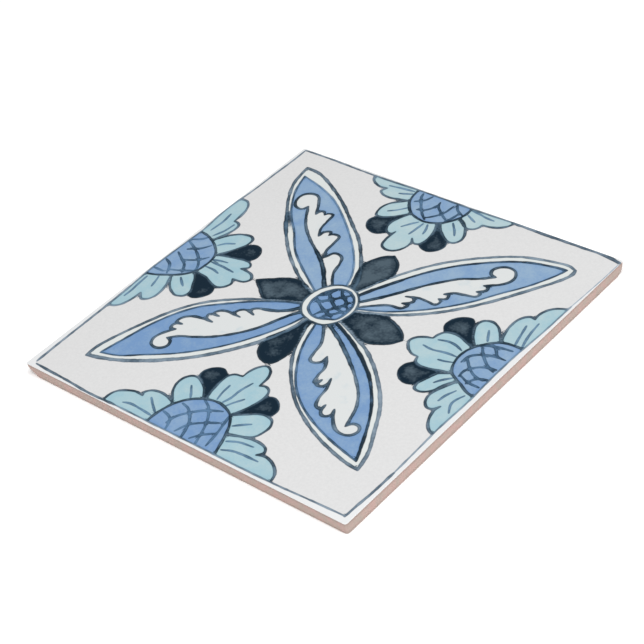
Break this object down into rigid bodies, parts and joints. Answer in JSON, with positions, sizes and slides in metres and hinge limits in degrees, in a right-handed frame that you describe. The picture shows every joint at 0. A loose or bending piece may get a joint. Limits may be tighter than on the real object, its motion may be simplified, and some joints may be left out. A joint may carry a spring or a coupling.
{
  "type": "ceramic tile",
  "caption": "Square glazed wall tile with a painted blue and white flower ornament, a rounded face edge, drafted sides and a keyed back for adhesive.",
  "frame": {"origin": "centre of the back, on the plane of its rim and ribs that the tile is bedded on", "axes": "+Z is the outward normal of the glazed face; +X and +Y run along the tile's sides"},
  "size_m": [0.1524, 0.1524, 0.0048],
  "materials": {
    "tile": "gloss"
  },
  "bodies": {
    "root": {"tile": "tile"}
  },
  "joints": []
}
